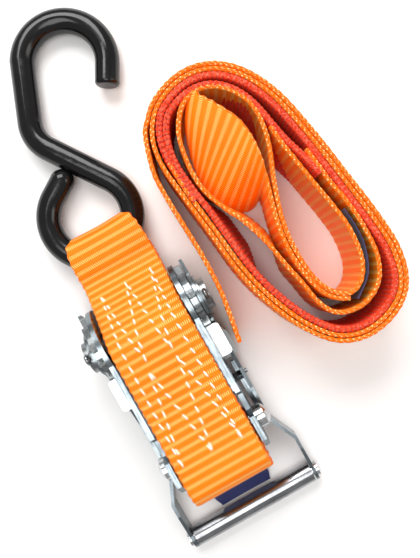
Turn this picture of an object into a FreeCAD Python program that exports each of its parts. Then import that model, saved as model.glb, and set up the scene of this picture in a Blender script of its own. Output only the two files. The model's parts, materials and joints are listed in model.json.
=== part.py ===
"""Ratchet tie down: a wide-handled ratchet on a short hooked strap, with its long strap coiled beside it.

Units are millimetres, +Z is up. The ratchet lies closed on its handle, with its base upwards.
X runs along the mandrel, +Y runs from the grip to the hook, and z = 0 is the ground.
Everything is drawn about the point of the ground under the mandrel's middle, and at the end the whole
model is moved so that the origin is the middle of the bottom of its bounding box.
"""
import FreeCAD, Part
import math
import os

Vector = FreeCAD.Vector

# webbing
WEB_WIDTH = 50.0
WEB_THICK = 2.7
SOFT_GAP = 0.3

# ratchet: heights and places of its three axes
MANDREL_Z = 25.5
BOLT_Y = -79.0
BOLT_Z = 28.0
GRIP_Y = -130.0
GRIP_Z = 6.2

# ratchet: positions across it, measured from its middle plane
FRAME_INNER = 26.0
FRAME_OUTER = 29.0
WHEEL_INNER = 29.3
WHEEL_OUTER = 33.3
HANDLE_INNER = 33.7
HANDLE_OUTER = 35.7
WASHER_INNER = 35.9
WASHER_OUTER = 37.1
PIN_X = 38.7
MANDREL_END = 40.6

# frame
FRAME_DISC_R = 24.5
FRAME_TOP = 48.0
FRAME_BOTTOM = 19.5
FRAME_END_Y = -93.0
FRAME_DIP_Z = 39.0
BASE_TOP = 44.0
BASE_THICK = 2.5
BASE_FRONT_Y = -12.0
BASE_BACK_Y = -56.0
SPRING_TAB_Y = -53.5

# mandrel and wheels
MANDREL_R = 10.0
MANDREL_SLOT = 5.2
RUNNING_FIT = 0.08
WHEEL_TIP_R = 23.0
WHEEL_ROOT_R = 18.5
TEETH = 12

# pawls
PAWL_THICK = 3.5
LOCK_PAWL_Z = 34.5
LOCK_PAWL_FRONT = -17.3
LOCK_PAWL_BACK = -37.0
LOCK_TRAVEL = 6.0
PAWL_HALF_SPAN = 36.4
RELEASE_ANGLE = 200.0
RELEASE_FRONT_R = 25.2
RELEASE_BACK_R = 44.0
RELEASE_TRAVEL = 6.0
SPRING_R = 3.6
SPRING_WIRE_R = 0.6
SPRING_COILS = 6
PEG_R = 2.2

# handle
BRIDGE_R = 57.0
BRIDGE_THICK = 3.0
RIVET_R = 1.4
HANDLE_LOBE_R = MANDREL_Z
HANDLE_HUB_R = 15.5
HANDLE_THICK = HANDLE_OUTER - HANDLE_INNER
ARM_TOP = 17.5
ARM_BOTTOM = 1.5
FLARE_START_Y = -86.0
FLARE_END_Y = -104.0
ARM_OUTER = 44.0
GRIP_R = 6.2
GRIP_HALF = 41.2
SPINDLE_R = 4.0

# fixed bolt
BOLT_R = 4.0
SLEEVE_R = 7.0
BOLT_HEAD_R = 7.25
BOLT_HEAD_OUTER = 37.0

# short strap
FOLD_Y = -88.8
RUN_Z = BASE_TOP + SOFT_GAP + WEB_THICK
FOLD_Z = (BOLT_Z + RUN_Z) / 2
RUN_BEND_Y = -4.0
LOOP_HINGE_Y = 38.0
LOOP_HINGE_Z = 13.0
LOOP_END_Y = 68.7
LOOP_TOP_Y = 46.0
LOOP_TOP_Z = 20.1
LOOP_SWING = 45
LOOP_PLY_STEP = 1.4
LOOP_LOWER_THICK = 2.4

# hook: a bent round bar, drawn in its own plane about the middle of its eye
HOOK_BAR_R = 6.0
HOOK_COAT_R = 7.7
HOOK_TIP_ROUNDING = 2.4
EYE_R = 26.0
EYE_END_ANGLE = 152.0
EYE_END_LENGTH = 11.0
HOOK_R = 26.55
HOOK_X = -16.5
HOOK_Y = 96.05
HOOK_TIP_Y = 84.1
CORNER_X = -36.4
CORNER_REACH = 11.0
DIAGONAL_ANGLE = -26.5
EYE_X = -0.5
EYE_Y = 76.0
EYE_Z = 10.35
HOOK_TURN = -29.4
HOOK_TILT = -1.19

# long strap: middle lines and outline of its layers seen from above
COIL_OUTLINE = [(51, 80), (54, 96), (65, 109), (85, 116), (104, 113), (119, 101), (130, 81),
                (137, 52), (142, 20), (146, -9), (147, -30), (141.5, -50), (128, -62), (108, -66.5),
                (90, -60.5), (76, -44), (66, -22), (60, 0), (56.5, 28), (53, 57)]
INNER_TURN = [(129, 22), (133, 6), (134.5, -12), (133, -29), (126, -42), (113, -48.5), (99, -46), (88, -35),
              (81, -18), (77.5, 0), (75.5, 14), (74, 27)]
TAIL = [(48.6, 86), (46.6, 74), (46, 58), (47, 38), (47.8, 20), (47.3, 0), (45, -17), (42.2, -33)]
EYE_LOOP = [(106, 80), (108.5, 64), (104.5, 49), (98.5, 34), (94, 18), (92, 0), (92.8, -20), (98, -34),
            (108, -41), (118.5, -36.5), (125, -24), (126, -6), (124, 14), (120, 38), (115.5, 62), (111, 80)]
EYE_LABEL = [(128.8, 13), (130.6, -5), (129.6, -20), (123.5, -34.5), (112, -45)]
COIL_TURN_PITCH = 2.9
SLEEVE_THICK = 3.2
SLEEVE_SECOND_THICK = 3.4


def box(x0, x1, y0, y1, z0, z1):
    """A block between two corners."""
    return Part.makeBox(x1 - x0, y1 - y0, z1 - z0, Vector(x0, y0, z0))


def rod_x(x0, x1, y, z, radius):
    """A round bar along X."""
    return Part.makeCylinder(radius, x1 - x0, Vector(x0, y, z), Vector(1, 0, 0))


def side_prism(points, x0, x1):
    """A flat outline given as (y, z) points, made solid between two places along X."""
    corners = [Vector(x0, y, z) for y, z in points]
    face = Part.Face(Part.makePolygon(corners + corners[:1]))
    return face.extrude(Vector(x1 - x0, 0, 0))


def mirror_x(shape):
    """The same sub-part for the other side of the ratchet."""
    return shape.mirror(Vector(0, 0, 0), Vector(1, 0, 0))


def polar(radius, degrees):
    """(y, z) of a point about the mandrel's axis, 0 degrees along +Y and 90 degrees upwards."""
    angle = math.radians(degrees)
    return (radius * math.cos(angle), MANDREL_Z + radius * math.sin(angle))


def turned_about_mandrel(shape, degrees):
    """A shape turned about the mandrel's axis, from +Y towards +Z."""
    return shape.rotated(Vector(0, 0, MANDREL_Z), Vector(1, 0, 0), degrees)


def spring(start, direction, length, radius, wire_radius, coils):
    """A round-wire compression spring."""
    helix = Part.makeHelix(length / coils, length, radius)
    circle = Part.Circle(Vector(radius, 0, 0), Vector(0, 1, 0), wire_radius)
    section = Part.Wire(circle.toShape())
    shape = Part.Wire(helix.Edges).makePipeShell([section], True, True)
    turn = FreeCAD.Rotation(Vector(0, 0, 1), direction)
    shape.Placement = FreeCAD.Placement(start, turn)
    return shape


# ---------------------------------------------------------------- frame

def frame_plate():
    """Right-hand side plate, with its round cam end, bolt end, pawl slot and base tab slots."""
    bar = side_prism(
        [(0, FRAME_BOTTOM), (0, FRAME_TOP), (-57, FRAME_TOP), (-60, FRAME_DIP_Z), (-70, FRAME_DIP_Z),
         (-73, FRAME_TOP - 1), (-88, FRAME_TOP - 1), (FRAME_END_Y, 40), (FRAME_END_Y, 24),
         (-88, FRAME_BOTTOM)],
        FRAME_INNER, FRAME_OUTER)
    plate = bar.fuse(rod_x(FRAME_INNER, FRAME_OUTER, 0, MANDREL_Z, FRAME_DISC_R))
    plate = plate.cut(rod_x(FRAME_INNER - 1, FRAME_OUTER + 1, 0, MANDREL_Z, MANDREL_R + RUNNING_FIT))
    plate = plate.cut(rod_x(FRAME_INNER - 1, FRAME_OUTER + 1, BOLT_Y, BOLT_Z, BOLT_R + 0.05))
    slot_half = PAWL_THICK / 2 + 0.15
    plate = plate.cut(box(FRAME_INNER - 1, FRAME_OUTER + 1,
                          LOCK_PAWL_BACK - LOCK_TRAVEL - 0.6, LOCK_PAWL_FRONT + 0.6,
                          LOCK_PAWL_Z - slot_half, LOCK_PAWL_Z + slot_half))
    for y in base_tabs():
        plate = plate.cut(box(FRAME_INNER - 1, FRAME_OUTER + 1, y - 4.05, y + 4.05,
                              BASE_TOP - BASE_THICK - 0.05, BASE_TOP + 0.05))
    return plate.removeSplitter()


def base_tabs():
    """Where the base plate's tabs pass through the side plates."""
    return (BASE_FRONT_Y - 9, BASE_BACK_Y + 9)


def frame_base_plate():
    """Cross plate that ties the side plates together, with a bent tab that the pawl spring pushes on."""
    inner = FRAME_INNER - 0.05
    plate = box(-inner, inner, BASE_BACK_Y, BASE_FRONT_Y, BASE_TOP - BASE_THICK, BASE_TOP)
    tab = box(-9, 9, SPRING_TAB_Y - BASE_THICK, SPRING_TAB_Y, LOCK_PAWL_Z - 6, BASE_TOP - BASE_THICK)
    plate = plate.fuse(tab)
    for y in base_tabs():
        reach = FRAME_OUTER + 0.2
        plate = plate.fuse(box(-reach, reach, y - 4, y + 4, BASE_TOP - BASE_THICK, BASE_TOP))
    return plate.removeSplitter()


def domed_head(side):
    """Domed round head outside the side plate, on the +X side (1) or the -X side (-1)."""
    flat = rod_x(FRAME_OUTER + 0.02, BOLT_HEAD_OUTER - 3, BOLT_Y, BOLT_Z, BOLT_HEAD_R)
    dome = Part.makeSphere(BOLT_HEAD_R + 1.4, Vector(BOLT_HEAD_OUTER - BOLT_HEAD_R - 1.4, BOLT_Y, BOLT_Z))
    dome = dome.common(rod_x(BOLT_HEAD_OUTER - 3, BOLT_HEAD_OUTER, BOLT_Y, BOLT_Z, BOLT_HEAD_R))
    head = flat.fuse(dome)
    return head if side > 0 else mirror_x(head)


def fixed_bolt():
    """Bolt that the short strap is sewn round, with its head on the +X side."""
    shank = rod_x(-(BOLT_HEAD_OUTER - 3.5), FRAME_OUTER + 1, BOLT_Y, BOLT_Z, BOLT_R)
    return shank.fuse(domed_head(1)).removeSplitter()


def cap_nut():
    """Domed nut on the bolt's -X end."""
    bore = rod_x(-(BOLT_HEAD_OUTER - 3.4), 0, BOLT_Y, BOLT_Z, BOLT_R + 0.05)
    return domed_head(-1).cut(bore).removeSplitter()


def bolt_sleeve():
    """Spacer tube on the bolt, which keeps the side plates apart."""
    half = FRAME_INNER - 0.02
    outer = rod_x(-half, half, BOLT_Y, BOLT_Z, SLEEVE_R)
    return outer.cut(rod_x(-half - 1, half + 1, BOLT_Y, BOLT_Z, BOLT_R + 0.05))


# ---------------------------------------------------------------- mandrel

def mandrel_half(side):
    """Half-round bar above (1) or below (-1) the slot that the long strap is wound through."""
    bar = rod_x(-MANDREL_END, MANDREL_END, 0, MANDREL_Z, MANDREL_R)
    keep = box(-MANDREL_END - 1, MANDREL_END + 1, -MANDREL_R - 1, MANDREL_R + 1,
               MANDREL_Z + MANDREL_SLOT / 2, MANDREL_Z + MANDREL_R + 1)
    if side < 0:
        keep = turned_about_mandrel(keep, 180)
    bar = bar.common(keep)
    for x in (-PIN_X, PIN_X):
        bar = bar.cut(Part.makeCylinder(1.25, 60, Vector(x, 0, MANDREL_Z - 30)))
    return bar.removeSplitter()


def wheel_outline():
    """Saw-toothed outline. One gap faces the lock pawl when a tooth's steep face bears on it."""
    points = []
    pitch = 360.0 / TEETH
    steep_root = 158.5
    for tooth in range(TEETH):
        turn = tooth * pitch
        points.append(polar(WHEEL_ROOT_R, steep_root - 12.5 + turn))
        points.append(polar(WHEEL_ROOT_R, steep_root + turn))
        points.append(polar(WHEEL_TIP_R, steep_root + 4.5 + turn))
        points.append(polar(WHEEL_TIP_R, steep_root + 9.5 + turn))
    return points


def ratchet_wheel():
    """Right-hand toothed wheel, with two half-round holes for the mandrel."""
    wheel = side_prism(wheel_outline(), WHEEL_INNER, WHEEL_OUTER)
    bore = rod_x(WHEEL_INNER - 1, WHEEL_OUTER + 1, 0, MANDREL_Z, MANDREL_R + 0.05)
    web_half = MANDREL_SLOT / 2 - 0.05
    web = box(WHEEL_INNER - 2, WHEEL_OUTER + 2, -MANDREL_R - 2, MANDREL_R + 2,
              MANDREL_Z - web_half, MANDREL_Z + web_half)
    return wheel.cut(bore.cut(web)).removeSplitter()


def mandrel_washers():
    """One plain washer outside each handle plate."""
    ring = rod_x(WASHER_INNER, WASHER_OUTER, 0, MANDREL_Z, 13.2)
    ring = ring.cut(rod_x(WASHER_INNER - 1, WASHER_OUTER + 1, 0, MANDREL_Z, MANDREL_R + 0.05))
    return Part.makeCompound([ring, mirror_x(ring)])


def split_pin():
    """Split pin through both halves of the mandrel, with its eye above and its legs spread below."""
    x = PIN_X
    stem = Part.makeCylinder(1.2, 25.5, Vector(x, 0, MANDREL_Z - 11.5))
    eye = Part.makeTorus(2.4, 1.1, Vector(x, 0, MANDREL_Z + 15.6), Vector(1, 0, 0))
    pin = stem.fuse(eye)
    for side in (-1, 1):
        leg = Part.makeCylinder(0.8, 7.5, Vector(x, 0, MANDREL_Z - 11.3), Vector(0, side, -0.35))
        pin = pin.fuse(leg)
    return pin.removeSplitter()


def split_pins():
    """One split pin at each end of the mandrel."""
    pin = split_pin()
    return Part.makeCompound([pin, mirror_x(pin)])


# ---------------------------------------------------------------- pawls

def lock_pawl():
    """Sliding cross plate in the frame. Its ears stand in the wheels' gaps."""
    z0 = LOCK_PAWL_Z - PAWL_THICK / 2
    z1 = LOCK_PAWL_Z + PAWL_THICK / 2
    plate = box(-PAWL_HALF_SPAN, PAWL_HALF_SPAN, LOCK_PAWL_BACK, LOCK_PAWL_FRONT, z0, z1)
    corners = [edge for edge in plate.Edges
               if abs(edge.BoundBox.XMin) > PAWL_HALF_SPAN - 0.1 and edge.BoundBox.ZLength > 1]
    plate = plate.makeFillet(2.2, corners)
    middle = box(-FRAME_INNER + 2, FRAME_INNER - 2, LOCK_PAWL_FRONT - 4, LOCK_PAWL_FRONT + 1,
                 z0 - 1, z1 + 1)
    plate = plate.cut(middle)
    peg = Part.makeCylinder(PEG_R, 5, Vector(0, LOCK_PAWL_BACK + 0.1, LOCK_PAWL_Z), Vector(0, -1, 0))
    return plate.fuse(peg).removeSplitter()


def release_pawl():
    """Sliding cross plate in the handle. It stands on the frame's round ends while the handle is shut."""
    half = PAWL_THICK / 2
    ear = PAWL_HALF_SPAN + 2.0
    plate = box(-ear, ear, RELEASE_FRONT_R, RELEASE_BACK_R, MANDREL_Z - half, MANDREL_Z + half)
    corners = [edge for edge in plate.Edges
               if abs(edge.BoundBox.XMin) > ear - 0.1 and edge.BoundBox.ZLength > 1]
    plate = plate.makeFillet(2.5, corners)
    finger_dip = Part.makeCylinder(30, 10, Vector(0, RELEASE_BACK_R + 25, MANDREL_Z - 5))
    plate = plate.cut(finger_dip)
    peg = Part.makeCylinder(PEG_R, 9, Vector(0, RELEASE_BACK_R - 6, MANDREL_Z), Vector(0, 1, 0))
    plate = plate.fuse(peg).removeSplitter()
    return turned_about_mandrel(plate, RELEASE_ANGLE)


def lock_spring():
    """Pushes the lock pawl into the wheels."""
    start_y = LOCK_PAWL_BACK - 0.9
    length = start_y - SPRING_TAB_Y - 0.9
    start = Vector(0, start_y, LOCK_PAWL_Z)
    return spring(start, Vector(0, -1, 0), length, SPRING_R, SPRING_WIRE_R, SPRING_COILS)


def release_spring():
    """Pushes the release pawl towards the wheels."""
    start_r = RELEASE_BACK_R - 5.0 + 0.9
    y, z = polar(start_r, RELEASE_ANGLE)
    angle = math.radians(RELEASE_ANGLE)
    direction = Vector(0, math.cos(angle), math.sin(angle))
    length = BRIDGE_R - start_r - 0.9
    return spring(Vector(0, y, z), direction, length, SPRING_R, SPRING_WIRE_R, SPRING_COILS)


# ---------------------------------------------------------------- handle


def handle_plate():
    """Right-hand handle plate: hub, ground lobe, straight arm, joggle outwards and grip end."""
    hub = rod_x(HANDLE_INNER, HANDLE_OUTER, 0, MANDREL_Z, HANDLE_HUB_R)
    lobe = rod_x(HANDLE_INNER, HANDLE_OUTER, 0, MANDREL_Z, HANDLE_LOBE_R)
    upper = side_prism([polar(60, 190), polar(60, 120), polar(60, 60), polar(60, -8), (0, MANDREL_Z)],
                       HANDLE_INNER - 1, HANDLE_OUTER + 1)
    lobe = lobe.cut(upper)
    arm_side = side_prism(
        [(0, ARM_BOTTOM), (0, MANDREL_Z + 9), (-12, MANDREL_Z + 7), (-30, MANDREL_Z + 1),
         (-50, ARM_TOP + 1.5),
         (-64, ARM_TOP), (FLARE_START_Y, ARM_TOP - 1), (FLARE_START_Y, ARM_BOTTOM)],
        HANDLE_INNER, HANDLE_OUTER)
    plate = hub.fuse([lobe, arm_side])
    plate = plate.fuse(flared_arm())
    flange = box(FRAME_OUTER + 1.5, HANDLE_INNER + 0.5, FLARE_START_Y, -46, ARM_BOTTOM, ARM_BOTTOM + 2)
    plate = plate.fuse(flange)
    plate = plate.cut(rod_x(HANDLE_INNER - 1, HANDLE_OUTER + 1, 0, MANDREL_Z, MANDREL_R + RUNNING_FIT))
    slot_half = PAWL_THICK / 2 + 0.15
    slot = box(HANDLE_INNER - 1, HANDLE_OUTER + 1,
               RELEASE_FRONT_R - 0.5, RELEASE_BACK_R + RELEASE_TRAVEL + 0.6,
               MANDREL_Z - slot_half, MANDREL_Z + slot_half)
    plate = plate.cut(turned_about_mandrel(slot, RELEASE_ANGLE))
    plate = plate.cut(rod_x(ARM_OUTER - 4, ARM_OUTER + 1, GRIP_Y, GRIP_Z, SPINDLE_R - 0.4))
    rivet_hole = rod_x(HANDLE_INNER - 1, HANDLE_OUTER + 1, BRIDGE_R + BRIDGE_THICK / 2, MANDREL_Z,
                       RIVET_R + 0.05)
    plate = plate.cut(turned_about_mandrel(rivet_hole, RELEASE_ANGLE))
    return plate.removeSplitter()


def flared_arm():
    """The arm seen from above: it joggles outwards past the strap, then runs straight to the grip."""
    t = HANDLE_THICK
    outline = [(HANDLE_INNER, FLARE_START_Y + 0.5), (HANDLE_OUTER, FLARE_START_Y + 0.5),
               (HANDLE_OUTER, FLARE_START_Y), (ARM_OUTER, FLARE_END_Y),
               (ARM_OUTER, GRIP_Y - GRIP_R), (ARM_OUTER - t, GRIP_Y - GRIP_R),
               (ARM_OUTER - t, FLARE_END_Y - 0.5), (HANDLE_INNER, FLARE_START_Y - 0.5)]
    corners = [Vector(x, y, 0) for x, y in outline]
    arm = Part.Face(Part.makePolygon(corners + corners[:1])).extrude(Vector(0, 0, ARM_TOP + 1))
    side = side_prism(
        [(FLARE_START_Y + 1, ARM_BOTTOM), (FLARE_START_Y + 1, ARM_TOP - 1), (-112, ARM_TOP - 2),
         (GRIP_Y + 3, GRIP_Z + GRIP_R), (GRIP_Y, GRIP_Z + GRIP_R), (GRIP_Y, 0), (GRIP_Y + 3, 0),
         (-112, ARM_BOTTOM)],
        HANDLE_INNER - 1, ARM_OUTER + 1)
    side = side.fuse(rod_x(HANDLE_INNER - 1, ARM_OUTER + 1, GRIP_Y, GRIP_Z, GRIP_R))
    return arm.common(side)


def handle_bridge():
    """Cross bar between the handle plates, which the release spring pushes on."""
    half = HANDLE_INNER - 0.02
    bar = box(-half, half, BRIDGE_R, BRIDGE_R + BRIDGE_THICK, MANDREL_Z - 4.5, MANDREL_Z + 1.6)
    for side in (-1, 1):
        x = side * (HANDLE_INNER + HANDLE_OUTER) / 2
        rivet = rod_x(x - 2.5, x + 2.5, BRIDGE_R + BRIDGE_THICK / 2, MANDREL_Z, RIVET_R)
        bar = bar.fuse(rivet)
    return turned_about_mandrel(bar.removeSplitter(), RELEASE_ANGLE)


def grip_spindle():
    """Rod through both arm ends, riveted over outside them."""
    rod = rod_x(-ARM_OUTER - 1.5, ARM_OUTER + 1.5, GRIP_Y, GRIP_Z, SPINDLE_R - 0.4)
    for side in (-1, 1):
        x0 = min(side * (ARM_OUTER + 0.02), side * (ARM_OUTER + 1.9))
        rod = rod.fuse(rod_x(x0, x0 + 1.88, GRIP_Y, GRIP_Z, SPINDLE_R + 0.6))
    return rod.removeSplitter()


def grip_tube():
    """Tube that turns on the spindle under the user's hand."""
    tube = rod_x(-GRIP_HALF, GRIP_HALF, GRIP_Y, GRIP_Z, GRIP_R)
    return tube.cut(rod_x(-GRIP_HALF - 1, GRIP_HALF + 1, GRIP_Y, GRIP_Z, SPINDLE_R - 0.4 + RUNNING_FIT))


# ---------------------------------------------------------------- short strap

def strap_slab(y0, z0, y1, z1, thick, half_width):
    """A straight run of webbing between two points of its middle line."""
    length = math.hypot(y1 - y0, z1 - z0)
    ny = -(z1 - z0) / length * thick / 2
    nz = (y1 - y0) / length * thick / 2
    return side_prism([(y0 + ny, z0 + nz), (y1 + ny, z1 + nz), (y1 - ny, z1 - nz), (y0 - ny, z0 - nz)],
                      -half_width, half_width)


def short_strap_bolt_loop():
    """The webbing's sewn loop round the bolt's sleeve, up to the fold."""
    half = WEB_WIDTH / 2
    inner = SLEEVE_R + SOFT_GAP
    ring = rod_x(-half, half, BOLT_Y, BOLT_Z, inner + WEB_THICK)
    lead = box(-half, half, FOLD_Y + SOFT_GAP, BOLT_Y, BOLT_Z - WEB_THICK, BOLT_Z + WEB_THICK)
    loop = ring.fuse(lead).cut(box(-half - 1, half + 1, FOLD_Y - 5, FOLD_Y + SOFT_GAP, 0, 60))
    return loop.cut(rod_x(-half - 1, half + 1, BOLT_Y, BOLT_Z, inner)).removeSplitter()


def short_strap_fold():
    """The doubled webbing's bend from its bolt loop up and back over the base."""
    half = WEB_WIDTH / 2
    middle = (RUN_Z - BOLT_Z) / 2
    bend = rod_x(-half, half, FOLD_Y, FOLD_Z, middle + WEB_THICK)
    bend = bend.cut(rod_x(-half - 1, half + 1, FOLD_Y, FOLD_Z, middle - WEB_THICK))
    return bend.common(box(-half, half, FOLD_Y - 30, FOLD_Y, 0, 80))


def short_strap_run():
    """The doubled, sewn length over the base and down towards the hook."""
    half = WEB_WIDTH / 2
    thick = 2 * WEB_THICK
    flat = strap_slab(FOLD_Y + SOFT_GAP, RUN_Z, RUN_BEND_Y, RUN_Z, thick, half)
    slope = strap_slab(RUN_BEND_Y, RUN_Z, LOOP_HINGE_Y, LOOP_HINGE_Z, thick, half)
    knee = rod_x(-half, half, RUN_BEND_Y, RUN_Z, WEB_THICK)
    run = flat.fuse([slope, knee])
    run = run.cut(rod_x(-half - 1, half + 1, LOOP_HINGE_Y, LOOP_HINGE_Z, WEB_THICK + SOFT_GAP))
    hinge = Vector(0, LOOP_HINGE_Y, LOOP_HINGE_Z)
    swinging = strap_slab(LOOP_HINGE_Y, LOOP_HINGE_Z + LOOP_PLY_STEP, LOOP_TOP_Y, LOOP_TOP_Z,
                          WEB_THICK + 1.0, half + 1)
    for swing in range(0, LOOP_SWING + 5, 5):
        run = run.cut(swinging.rotated(hinge, Vector(1, 0, 0), swing))
    return run.removeSplitter()


def short_strap_hook_loop():
    """The webbing's open loop that the hook's eye passes through."""
    half = WEB_WIDTH / 2
    upper = strap_slab(LOOP_HINGE_Y, LOOP_HINGE_Z + LOOP_PLY_STEP, LOOP_TOP_Y, LOOP_TOP_Z,
                       WEB_THICK, half)
    upper = upper.fuse(strap_slab(LOOP_TOP_Y - 0.8, LOOP_TOP_Z, LOOP_END_Y, LOOP_TOP_Z, WEB_THICK, half))
    lower = strap_slab(LOOP_HINGE_Y, LOOP_HINGE_Z - LOOP_PLY_STEP, 45, LOOP_LOWER_THICK / 2,
                       LOOP_LOWER_THICK, half)
    lower = lower.fuse(box(-half, half, 44.5, LOOP_END_Y, 0, LOOP_LOWER_THICK))
    loop = upper.fuse([lower, rod_x(-half, half, LOOP_HINGE_Y, LOOP_HINGE_Z, WEB_THICK)])
    loop = loop.fuse(box(-13, 13, LOOP_END_Y - WEB_THICK, LOOP_END_Y, 0.5, LOOP_TOP_Z))
    return loop.removeSplitter()


def strap_label():
    """Blank label sewn into the bolt loop. It hangs from the fold down to just behind the grip."""
    outline = [(FOLD_Y - 6, BOLT_Z - 5.6), (-104, 15), (-114, 4.4), (-119, 2.6),
               (-119, 1.8), (-114.5, 3.6), (-104.6, 14.3), (FOLD_Y - 6.5, BOLT_Z - 6.4)]
    return side_prism(outline, -20, 18)


# ---------------------------------------------------------------- hook

def hook_path():
    """The bar's middle line in its own plane, from the tip round the hook and the eye, and its two ends."""
    centre = Vector(HOOK_X, HOOK_Y, 0)
    tip = Vector(HOOK_X + HOOK_R, HOOK_TIP_Y, 0)
    hook_start = centre + Vector(HOOK_R, 0, 0)
    hook_end = centre - Vector(HOOK_R, 0, 0)
    hook_arc = Part.Arc(hook_start, centre + Vector(0, HOOK_R, 0), hook_end)
    diagonal = polar_xy(1, DIAGONAL_ANGLE)
    eye_top = polar_xy(EYE_R, DIAGONAL_ANGLE + 90)
    corner = Vector(CORNER_X, 0, 0)
    corner.y = eye_top.y + (corner.x - eye_top.x) * diagonal.y / diagonal.x
    leg = (corner - hook_end).normalize()
    bend_in = corner - leg * CORNER_REACH
    bend_out = corner + diagonal * CORNER_REACH
    bend_radius = CORNER_REACH / math.tan(leg.getAngle(diagonal) / 2)
    bend_centre = bend_in + Vector(-leg.y, leg.x, 0) * bend_radius
    bend_middle = bend_centre + (corner - bend_centre).normalize() * bend_radius
    eye_end = polar_xy(EYE_R, EYE_END_ANGLE)
    end_direction = polar_xy(1, EYE_END_ANGLE - 90)
    eye_arc = Part.Arc(eye_top, polar_xy(EYE_R, DIAGONAL_ANGLE - 46.5), eye_end)
    eye_tip = eye_end + end_direction * EYE_END_LENGTH
    edges = [Part.LineSegment(tip, hook_start), hook_arc, Part.LineSegment(hook_end, bend_in),
             Part.Arc(bend_in, bend_middle, bend_out), Part.LineSegment(bend_out, eye_top), eye_arc,
             Part.LineSegment(eye_end, eye_tip)]
    return Part.Wire([edge.toShape() for edge in edges]), tip, eye_tip


def polar_xy(radius, degrees):
    """A point about the middle of the hook's eye, in the hook's own plane."""
    return Vector(radius * math.cos(math.radians(degrees)), radius * math.sin(math.radians(degrees)), 0)


def hook_bar(radius):
    """A round bar of one radius along the hook's middle line."""
    path, tip, eye_tip = hook_path()
    circle = Part.Circle(tip, Vector(0, 1, 0), radius)
    return path.makePipeShell([Part.Wire(circle.toShape())], True, False)


def place_hook(shape):
    """From the hook's own plane to where it lies, turned aside in the strap's loop and tipped down."""
    shape = shape.rotated(Vector(0, 0, 0), Vector(1, 0, 0), HOOK_TILT)
    shape = shape.rotated(Vector(0, 0, 0), Vector(0, 0, 1), HOOK_TURN)
    return shape.translated(Vector(EYE_X, EYE_Y, EYE_Z))


def s_hook_bar():
    """The bent steel bar under the coating."""
    return place_hook(hook_bar(HOOK_BAR_R))


def s_hook_coating():
    """The dipped coating round the bar: flat with a rounded rim at the tip, domed at the eye's end."""
    path, tip, eye_tip = hook_path()
    cap = Part.makeCylinder(HOOK_COAT_R, HOOK_TIP_ROUNDING, tip, Vector(0, -1, 0))
    rim = [edge for edge in cap.Edges if edge.BoundBox.YMax < tip.y - HOOK_TIP_ROUNDING + 0.01]
    cap = cap.makeFillet(HOOK_TIP_ROUNDING - 0.05, rim)
    coat = hook_bar(HOOK_COAT_R).fuse([cap, Part.makeSphere(HOOK_COAT_R, eye_tip)])
    return place_hook(coat.cut(hook_bar(HOOK_BAR_R)))


# ---------------------------------------------------------------- long strap

def smooth_curve(points, closed=False):
    """A smooth curve on the ground through (x, y) points."""
    curve = Part.BSplineCurve()
    curve.interpolate(Points=[Vector(x, y, 0) for x, y in points], PeriodicFlag=closed)
    return curve


def offset_points(curve, distance, t0, t1, count, closed=False):
    """Points beside a curve. A positive distance is to the left of its direction."""
    first, last = curve.FirstParameter, curve.LastParameter
    steps = count if closed else count - 1
    points = []
    for i in range(count):
        t = first + (last - first) * (t0 + (t1 - t0) * i / steps)
        direction = curve.tangent(t)[0]
        point = curve.value(t)
        points.append((point.x - direction.y * distance, point.y + direction.x * distance))
    return points


def band(curve, near, far, t0=0.0, t1=1.0, count=24, height=WEB_WIDTH):
    """Webbing on its edge along a curve, between two distances to its left."""
    near_points = offset_points(curve, near, t0, t1, count)
    far_points = offset_points(curve, far, t0, t1, count)
    side_a = smooth_curve(near_points).toShape()
    side_b = smooth_curve(far_points).toShape()
    ends = [Part.LineSegment(Vector(*near_points[i], 0), Vector(*far_points[i], 0)).toShape()
            for i in (0, -1)]
    wire = Part.Wire(Part.__sortEdges__([side_a, ends[1], side_b, ends[0]]))
    return Part.Face(wire).extrude(Vector(0, 0, height))


def closed_band(curve, near, far, height=WEB_WIDTH, count=40):
    """A whole turn on its edge, between two distances inside the outline."""
    solids = []
    for distance in (near, far):
        outline = smooth_curve(offset_points(curve, distance, 0, 1, count, True), True).toShape()
        solids.append(Part.Face(Part.Wire(outline)).extrude(Vector(0, 0, height)))
    return solids[0].cut(solids[1])


def coil_curve():
    """Outline of the coil's outermost turn."""
    return smooth_curve(COIL_OUTLINE, True)


def long_strap_turns():
    """The two outer turns, as one ring."""
    return closed_band(coil_curve(), 0, -2 * COIL_TURN_PITCH)


def wear_sleeve():
    """Tubular sleeve pushed over the strap: one whole turn and part of a second inside it."""
    first = 2 * COIL_TURN_PITCH + 0.2
    ring = closed_band(coil_curve(), -first, -first - SLEEVE_THICK)
    inner = first + SLEEVE_THICK - 0.1
    second = band(coil_curve(), -inner, -inner - SLEEVE_SECOND_THICK, 0.06, 0.335)
    return ring.fuse(second).removeSplitter()


def long_strap_inner_turn():
    """The turn inside the sleeve, which runs into the leaning length."""
    return band(smooth_curve(INNER_TURN), -WEB_THICK / 2, WEB_THICK / 2)


def long_strap_fold():
    """Where the strap leans over, its lower edge swung towards the coil's middle."""
    top = [(73, 30, 49), (69.5, 48, 49.5), (70.5, 68, 49.5), (77, 86, 49.5), (89, 100, 49)]
    foot = [(80, 28.5, 1), (94, 40, 1), (101, 54, 1), (102.5, 69, 2), (103, 84, 6)]
    edges = []
    for rail in (top, foot):
        curve = Part.BSplineCurve()
        curve.interpolate([Vector(*point) for point in rail])
        edges.append(curve.toShape())
    sheet = Part.makeRuledSurface(edges[0], edges[1])
    return sheet.extrude(Vector(-2.2, 0.6, 0.5))


def long_strap_eye():
    """The strap's inner end, folded back on itself and sewn into a long open eye."""
    return band(smooth_curve(EYE_LOOP), -WEB_THICK / 2, WEB_THICK / 2, count=40)


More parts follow.
